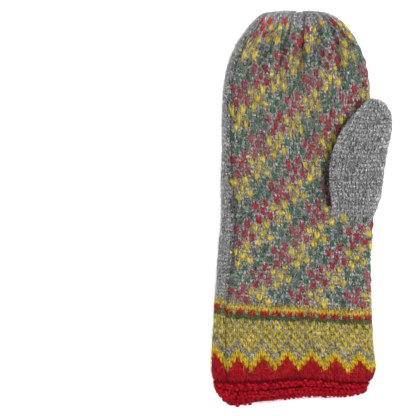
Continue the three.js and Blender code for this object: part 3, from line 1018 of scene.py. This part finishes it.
# Short lying loops, one for each column of each row
def purlPiece(name, node, place, columns, rows, colours, look):
    count, rings, around = len(columns), look["rings"], look["round"]
    t = look["reach"] * np.sin(np.linspace(-1.5, 1.5, rings))
    order = np.unique(rows, return_inverse=True)[1]
    shift = 0.5 + 0.5 * np.mod(order, 2) + rng.normal(0, 0.2, count)
    column = (columns + shift)[:, None] + t * rng.uniform(0.85, 1.15, (count, 1))
    bowed = np.where(np.mod(columns + np.round(rows), 2) == 0, 1, 0.4)[:, None]
    bow = 0.24 * (1 - (t / look["reach"]) ** 2) * bowed
    row = rows[:, None] + bow - look["slope"] * t + rng.normal(0, 0.12, (count, 1))
    full = np.sqrt(np.maximum(1 - (t / look["reach"]) ** 2, 0.06))[None, :, None]
    angle = np.radians(np.linspace(-100, 100, around))
    across = look["across"] * rng.uniform(0.75, 1.15, (count, 1, 1)) * full * np.sin(angle)
    rise = look["high"] * (full * np.cos(angle) - 1) - 0.6 * (1 - full) + rng.normal(0, 0.08, (count, 1, 1))
    points = strandPoints(*place(column, row), across, rise)
    # painted shade towards each bump's ends, where it tucks under, then random dark flecks
    tone = np.exp(rng.normal(0, 0.24, (count, rings, around, 1))) * (0.55 + 0.45 * full[..., None])
    tone = tone * np.where(rng.random((count, rings, around, 1)) < look["flecks"], 0.42, 1)
    u = (columns - columns.min())[:, None, None] + np.linspace(0.03, 0.97, rings)[:, None]
    v = order[:, None, None] + np.linspace(0.05, 0.95, around)
    layout = np.stack(np.broadcast_arrays(u / (np.ptp(columns) + 1), v / (order.max() + 1)), -1)
    makePiece(name, node, points, gridFaces(points), colours[:, None, None, :] * tone, 0.55, layout)


column, row = chartPlaces(allRound, hemBumps["rows"])
point, _ = bodyPlace(column + 0.5, row)
fits = body["grooveRow"] - row < hemRowsAt(point[:, 0]) - 0.05
column, row = column[fits], row[fits]
hemRed = np.tile(yarnTable[red] * 1.02, (len(column), 1))
purlPiece("hem_ridges", "hem", bodyPlace, column, row, hemRed, hemBumps)

inside = {
    "wall": 2.5, "rows": np.arange(-20.5, -4, 1.0), "rings": 4, "round": 4, "high": 0.6,
    "across": 1.15, "reach": 0.5, "flecks": 0.05, "slope": 0.1,
    "floats": 0.4,  # share of the yellow stitches that the grey yarn crosses
    "shade": 0.85,
}


# The inner face of the wall, looking into the mitten
def insidePlace(column, row):
    point, normal = bodyPlace(column, row)
    return point - normal * inside["wall"], -normal


column, row = chartPlaces(allRound, inside["rows"])
yarn = bodyYarn(column, np.round(row + 0.5))
crossed = (rng.random(len(yarn)) < inside["floats"]) & (yarn == yellow)
# painted shade: the inside of the wrist is darker
insideColour = yarnTable[np.where(crossed, grey, yarn)] * inside["shade"]
purlPiece("wrist_inside", "cuff_band", insidePlace, column, row, insideColour, inside)
print("hem and inside purled")


# The hem's cloth follows its extra row at the left corner
def hemPlace(column, row):
    point, _ = bodyPlace(column, row)
    below = np.maximum(body["grooveRow"] - row, 0)
    return bodyPlace(column, row - below * (hemRowsAt(point[..., 0]) / body["hemRows"] - 1))


# The cloth behind the stitches: the rows of its outer side, then those of its inner side
handReverse = {
    "columns": body["columns"], "rows": np.arange(0.1, body["rows"] + 0.6, 1.0)[::-1],
    "innerRows": [0.1, 6, 14, 20, 23, 26, 34, 44, 54, 62, 66, 69], "under": 1.15, "wall": 2.6,
    # painted shade: how much of the yarn's colour the outer side keeps, the red there, and the inner side
    "shade": 0.3, "redShade": 0.3, "innerShade": 0.6,
}
borderRows = np.arange(0.1, -16.4, -0.97)
borderReverse = dict(handReverse, rows=borderRows, innerRows=borderRows[::-2], redShade=0.55)
hemReverse = dict(
    handReverse, rows=[-16.3, -16.7, -17.2, -17.8, -18.4, -19, -19.6, -20.2, -20.8, -21.4],
    innerRows=[-21.4, -20.8, -20, -19, -18, -17, -16.3], under=0.9,
)
thumbReverse = dict(
    handReverse, columns=thumb["columns"], rows=np.arange(0, thumb["rows"] + 0.6, 0.9)[::-1],
    innerRows=[0, 6, 14, 20, 24, 26], wall=2.5,
)


def backing(name, node, place, yarnOf, look):
    column = np.arange(0, look["columns"], 0.5)
    rings, colours = [], []
    sides = (look["rows"], look["under"], look["shade"]), (look["innerRows"], look["wall"], look["innerShade"])
    for rows, depth, shade in sides:
        for row in rows:
            point, normal = place(column, np.full(len(column), float(row)))
            rings.append(point - normal * depth)
            yarn = yarnOf(np.floor(column), np.full(len(column), np.round(row + 0.5)))
            # painted shade on the cloth behind the stitches
            shades = np.where((yarn == red) & (depth == look["under"]), look["redShade"], shade)
            colours.append(yarnTable[yarn] * shades[:, None])
    points = np.array(rings)
    step = np.arange(len(column)) / len(column) * 0.98 + 0.01
    layout = np.stack(np.meshgrid(step, np.linspace(0.01, 0.99, len(rings))), -1)
    makePiece(name, node, points, gridFaces(points, closed=True), np.array(colours), 0.8, layout, lowest=0.3)


backing("hand_reverse", "hand", bodyPlace, bodyYarn, handReverse)
backing("border_reverse", "cuff_band", bodyPlace, bodyYarn, borderReverse)
backing("hem_reverse", "hem", hemPlace, bodyYarn, hemReverse)
backing("thumb_reverse", "thumb", thumbPlace, allGrey, thumbReverse)
print("cloth behind the stitches made")

stitchPitch = 2.7
palmNap = {
    "columns": (2, 44), "rows": (0.1, 71), "count": 27000, "lastRow": 71.5, "width": 0.1,
    "length": 3.0, "lift": 0.45, "parts": 3, "turn": 0.75, "stray": 0.55,
    "pale": 0.16,  # share of pale fibres among the grey ones, and among the others
    "palest": 0.0, "paleColour": (0.26, 0.26, 0.25),
}
backNap = dict(palmNap, columns=(44, 86), count=14000)
borderNap = dict(palmNap, columns=(0, 84), rows=(-16, 0.2), count=12000, length=2.4, stray=0.3)
hemNap = dict(palmNap, columns=(0, 84), rows=(-22, -16.4), count=6000)
thumbNap = dict(palmNap, columns=(0, 34), rows=(0.3, 28), count=6000, lastRow=28.5)
palmCurls = dict(
    palmNap, columns=(2, 86), rows=(1, 68), count=900, lastRow=70, width=0.08, length=9.0, lift=0.4,
    parts=12, turn=0.3, pale=0.5, palest=0.5, paleColour=(0.27, 0.09, 0.06),
)
wristCurls = dict(palmCurls, columns=(0, 84), rows=(-21, -9), count=260)


# Loose fibres as thin ribbons that turn as they go
def fibres(place, columns, rows, colours, look):
    count, parts = len(columns), look["parts"]
    heading = rng.uniform(0, 2 * math.pi, count)
    turn = rng.normal(0, look["turn"], count)
    step = look["length"] * np.minimum(rng.gamma(4, 0.25, count), 2) / parts / stitchPitch
    rise = look["lift"] * np.minimum(rng.gamma(1.6, 0.6, count), 2.6)
    foot, normal = place(columns, rows)
    path = [foot - normal * 0.45]
    for n in range(parts):
        columns = columns + np.cos(heading) * step
        rows = np.minimum(rows + np.sin(heading) * step, look["lastRow"])
        flat, outward = place(columns, rows)
        height = math.sin(math.pi * min((n + 1) / parts, 0.7) / 1.4)
        path.append(flat + outward * (rise * height - 0.1)[:, None])
        heading = heading + turn + rng.normal(0, 0.25, count)
    path = np.stack(path, 1)
    tangent = unit(np.gradient(path, axis=1))
    tilt = rng.normal(0, 1, (count, 1, 3))
    wide = unit(np.cross(tangent, normal[:, None, :] + 0.6 * tilt))
    half = look["width"] / 2 * rng.uniform(0.6, 1.4, (count, 1, 1))
    left, right = path[:, :parts] - wide[:, :parts] * half, path[:, :parts] + wide[:, :parts] * half
    points = np.concatenate([left, right, path[:, parts:]], 1)
    n = np.arange(parts - 1)
    quads = np.concatenate([np.stack([n, n + parts, n + parts + 1], -1), np.stack([n, n + parts + 1, n + 1], -1)])
    triangles = np.concatenate([quads, [[parts - 1, 2 * parts - 1, 2 * parts]]])
    size = 2 * parts + 1
    faces = (np.arange(count)[:, None, None] * size + triangles[None]).reshape(-1, 3)
    cells = int(math.ceil(math.sqrt(count)))
    cell = np.stack([np.arange(count) % cells, np.arange(count) // cells], -1)
    up = np.linspace(0.1, 0.75, parts)
    sides = [np.stack([np.full(parts, side), up], -1) for side in (0.1, 0.8)]
    layout = (cell[:, None, :] + np.concatenate([*sides, [[0.45, 0.9]]])[None]) / cells
    return points, faces, np.repeat(colours[:, None, :], size, 1), 0.3, layout


def napPiece(name, node, place, yarnOf, look, widthOf=None, shadeOf=None):
    column, row = (rng.uniform(*look[span], look["count"]) for span in ("columns", "rows"))
    if widthOf is not None:
        kept = widthOf(column, row) > 0.4
        column, row = column[kept], row[kept]
    count = len(column)
    source = np.floor(column + rng.normal(0, 0.35, count))
    yarn = yarnOf(source, np.round(row + 0.5 + rng.normal(0, look["stray"], count)))
    colour = yarnTable[yarn] * rng.normal(1.0, 0.32, count).clip(0.3, 1.9)[:, None]
    pale = rng.random(count) < np.where(yarn == grey, look["pale"], look["palest"])
    colour[pale] = np.array(look["paleColour"]) * rng.uniform(0.7, 1.3, (pale.sum(), 1))
    # the same painted shade and light on the nap
    if shadeOf is not None:
        colour = colour * shadeOf(column, row)[:, None]
    made = fibres(place, column, row, np.clip(colour, 0, 0.85), look)
    makePiece(name, node, *made, lowest=0.05, smooth=False)


napPiece("palm_nap", "hand", bodyPlace, bodyYarn, palmNap, bodyWidth, paintedShadeAndLight)
napPiece("back_nap", "hand", bodyPlace, bodyYarn, backNap, bodyWidth, paintedShadeAndLight)
napPiece("border_nap", "cuff_band", bodyPlace, bodyYarn, borderNap)
napPiece("hem_nap", "hem", bodyPlace, bodyYarn, hemNap)
napPiece("thumb_nap", "thumb", thumbPlace, allGrey, thumbNap, thumbWidth)
napPiece("wrist_curls", "cuff_band", bodyPlace, bodyYarn, wristCurls)
napPiece("palm_curls", "hand", bodyPlace, bodyYarn, palmCurls)
print("nap made")

floorMesh = bpy.data.meshes.new("floor")
floorMesh.from_pydata([(-3, -3, 0), (3, -3, 0), (3, 3, 0), (-3, 3, 0)], [], [(0, 1, 2, 3)])
floor = addObject("floor", floorMesh)
floor.location.z = -0.0002
paper = bpy.data.materials.new("white paper")
paper.use_nodes = True
setInputs(paper.node_tree.nodes["Principled BSDF"], Base_Color=(0.92, 0.92, 0.92, 1), Roughness=0.9)
floorMesh.materials.append(paper)

world = bpy.data.worlds.new("studio")
world.use_nodes = True
setInputs(world.node_tree.nodes["Background"], Color=(1, 1, 1, 1), Strength=1.35)
bpy.context.scene.world = world
bpy.context.scene.view_settings.view_transform = "Standard"


def softLight(name, place, size, power):
    lamp = bpy.data.lights.new(name, "AREA")
    lamp.shape, lamp.size, lamp.energy = "DISK", size, power
    holder = addObject(name, lamp)
    holder.location = place
    target = np.array([0, 0, 0.01]) - np.array(place)
    yaw = math.atan2(-target[0], target[1])
    pitch = math.atan2(math.hypot(target[0], target[1]), -target[2])
    holder.rotation_euler = (pitch, 0, yaw)


softLight("key", place=(0.6, 0.35, 1.0), size=0.5, power=13.0)
softLight("fill", place=(-0.5, 0.1, 1.0), size=0.9, power=4.0)

camera = bpy.data.cameras.new("overhead")
cameraHolder = addObject("overhead", camera)
camera.lens, camera.sensor_width = 85, 36
seenWidth, seenHeight = 0.2891, 0.012
cameraHolder.location = (-0.0651, 0.0001, seenHeight + seenWidth * camera.lens / camera.sensor_width)
bpy.context.scene.camera = cameraHolder
